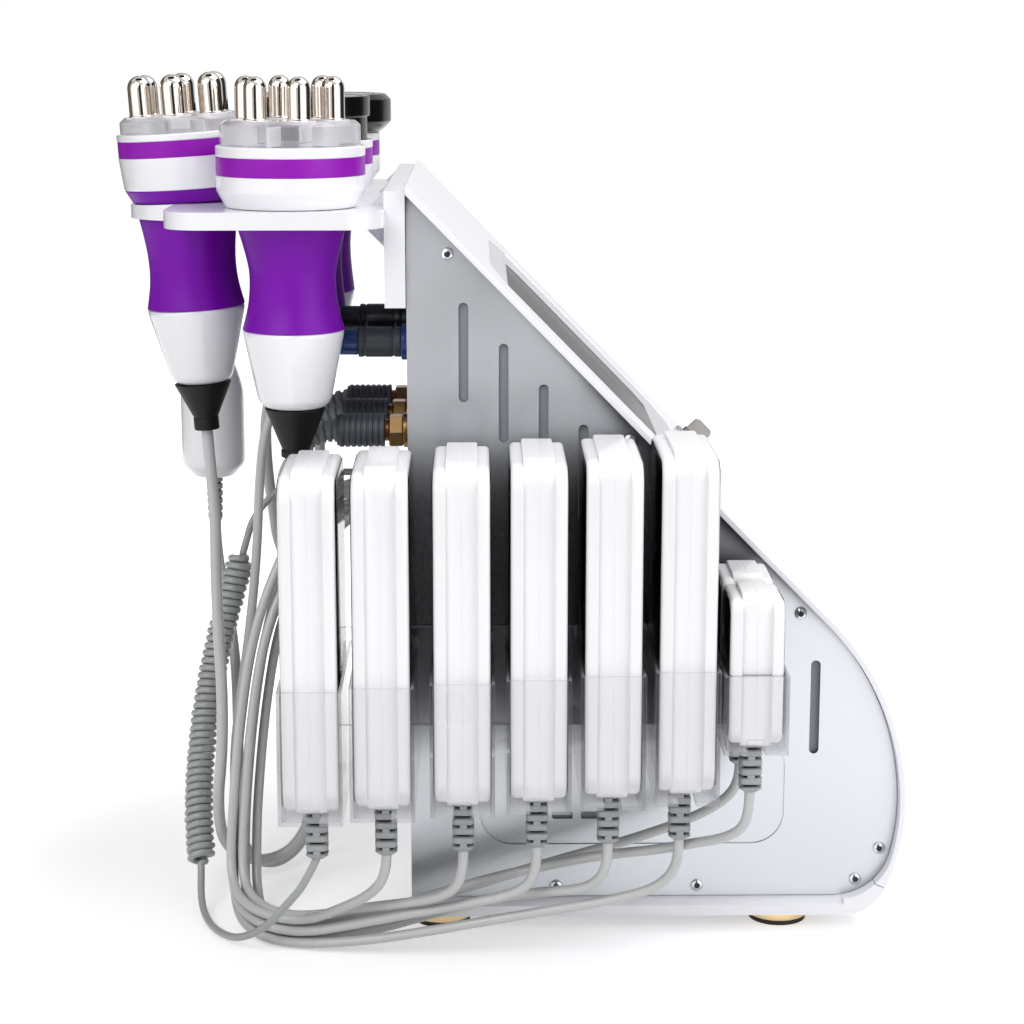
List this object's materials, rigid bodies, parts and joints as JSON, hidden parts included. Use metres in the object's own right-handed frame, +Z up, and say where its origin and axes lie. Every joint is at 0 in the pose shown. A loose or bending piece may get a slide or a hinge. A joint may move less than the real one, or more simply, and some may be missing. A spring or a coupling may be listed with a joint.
{
  "type": "body sculpting machine",
  "caption": "Desktop body sculpting machine: wedge cabinet with sloping screen, a shelf of lift-out handpieces, and a clear rack of lift-out treatment pads with their cords.",
  "frame": {"origin": "middle of the machine's footprint, on the surface it stands on", "axes": "+X towards the front of the cabinet (its rounded nose), +Z up, -Y towards the rack of pads on the near side"},
  "size_m": [0.4306, 0.362, 0.4694],
  "materials": {
    "white_gloss": "gloss white baked paint on folded sheet",
    "panel_silver": "satin silver-grey paint",
    "screw_chrome": "polished",
    "key_steel": "nickel plated",
    "screen_glass": "black cover glass",
    "inlet_black": "moulded",
    "foot_gold": "champagne anodised, turned",
    "foot_rubber": "matte",
    "clear_acrylic": "clear moulded plastic with polished edges",
    "socket_brass": "machined",
    "plug_slate": "satin moulded",
    "shell_white": "gloss",
    "grip_purple": "satin",
    "electrode_chrome": "polished",
    "cap_clear": "frosted clear plastic",
    "boot_black": "satin",
    "head_black": "gloss",
    "window_dark": "dark tinted",
    "boot_grey": "matte moulded",
    "cord_grey": "satin cord sheath"
  },
  "bodies": {
    "root": {"base_tray": "white_gloss", "cable_plugs": "plug_slate", "coiled_cord": "cord_grey", "cords": "cord_grey", "feet": "foot_gold", "foot_pads": "foot_rubber", "front_cover": "white_gloss", "handpiece_shelf": "white_gloss", "key_switch_ring": "screw_chrome", "pad_rack": "clear_acrylic", "panel_screws": "screw_chrome", "panel_sockets": "socket_brass", "power_inlet": "inlet_black", "rear_panel": "panel_silver", "side_panel_far": "panel_silver", "side_panel_near": "panel_silver", "touch_screen": "screen_glass"},
    "handpiece_1": {"handpiece_1_boot": "boot_black", "handpiece_1_cap": "cap_clear", "handpiece_1_electrodes": "electrode_chrome", "handpiece_1_grip": "grip_purple", "handpiece_1_shell": "shell_white"},
    "handpiece_2": {"handpiece_2_boot": "boot_black", "handpiece_2_cap": "cap_clear", "handpiece_2_electrodes": "electrode_chrome", "handpiece_2_grip": "grip_purple", "handpiece_2_shell": "shell_white"},
    "handpiece_3": {"handpiece_3_boot": "boot_black", "handpiece_3_wand": "shell_white"},
    "handpiece_4": {"handpiece_4_grip": "grip_purple", "handpiece_4_head": "head_black", "handpiece_4_shell": "shell_white"},
    "handpiece_5": {"handpiece_5_grip": "grip_purple", "handpiece_5_head": "head_black", "handpiece_5_shell": "shell_white"},
    "pad_1": {"pad_1_boot": "boot_grey", "pad_1_shell": "shell_white", "pad_1_window": "window_dark"},
    "pad_2": {"pad_2_boot": "boot_grey", "pad_2_shell": "shell_white", "pad_2_window": "window_dark"},
    "pad_3": {"pad_3_boot": "boot_grey", "pad_3_shell": "shell_white", "pad_3_window": "window_dark"},
    "pad_4": {"pad_4_boot": "boot_grey", "pad_4_shell": "shell_white", "pad_4_window": "window_dark"},
    "pad_5": {"pad_5_boot": "boot_grey", "pad_5_shell": "shell_white", "pad_5_window": "window_dark"},
    "pad_6": {"pad_6_boot": "boot_grey", "pad_6_shell": "shell_white", "pad_6_window": "window_dark"},
    "small_pad_1": {"small_pad_1_boot": "boot_grey", "small_pad_1_shell": "shell_white", "small_pad_1_window": "window_dark"},
    "small_pad_2": {"small_pad_2_boot": "boot_grey", "small_pad_2_shell": "shell_white", "small_pad_2_window": "window_dark"},
    "key": {"key_switch_key": "key_steel"}
  },
  "joints": [
    {"name": "handpiece_1_lift", "type": "slide", "parent": "root", "child": "handpiece_1", "axis": [0, 0, 1], "range_m": [0, 0.15]},
    {"name": "handpiece_2_lift", "type": "slide", "parent": "root", "child": "handpiece_2", "axis": [-0.0593, 0, 0.9982], "range_m": [0, 0.15]},
    {"name": "handpiece_3_lift", "type": "slide", "parent": "root", "child": "handpiece_3", "axis": [0, 0, 1], "range_m": [0, 0.21]},
    {"name": "handpiece_4_lift", "type": "slide", "parent": "root", "child": "handpiece_4", "axis": [0, 0, 1], "range_m": [0, 0.14]},
    {"name": "handpiece_5_lift", "type": "slide", "parent": "root", "child": "handpiece_5", "axis": [0, 0, 1], "range_m": [0, 0.14]},
    {"name": "pad_1_lift", "type": "slide", "parent": "root", "child": "pad_1", "axis": [0, 0, 1], "range_m": [0, 0.1]},
    {"name": "pad_2_lift", "type": "slide", "parent": "root", "child": "pad_2", "axis": [0, 0, 1], "range_m": [0, 0.1]},
    {"name": "pad_3_lift", "type": "slide", "parent": "root", "child": "pad_3", "axis": [0, 0, 1], "range_m": [0, 0.1]},
    {"name": "pad_4_lift", "type": "slide", "parent": "root", "child": "pad_4", "axis": [0, 0, 1], "range_m": [0, 0.1]},
    {"name": "pad_5_lift", "type": "slide", "parent": "root", "child": "pad_5", "axis": [0, 0, 1], "range_m": [0, 0.1]},
    {"name": "pad_6_lift", "type": "slide", "parent": "root", "child": "pad_6", "axis": [0, 0, 1], "range_m": [0, 0.1]},
    {"name": "small_pad_1_lift", "type": "slide", "parent": "root", "child": "small_pad_1", "axis": [0, 0, 1], "range_m": [0, 0.068]},
    {"name": "small_pad_2_lift", "type": "slide", "parent": "root", "child": "small_pad_2", "axis": [0, 0, 1], "range_m": [0, 0.068]},
    {"name": "key_turn", "type": "hinge", "parent": "root", "child": "key", "pos_m": [0.11228, 0.131, 0.23943], "axis": [0.7148, 0, 0.6993], "range_deg": [-90, 0]}
  ]
}
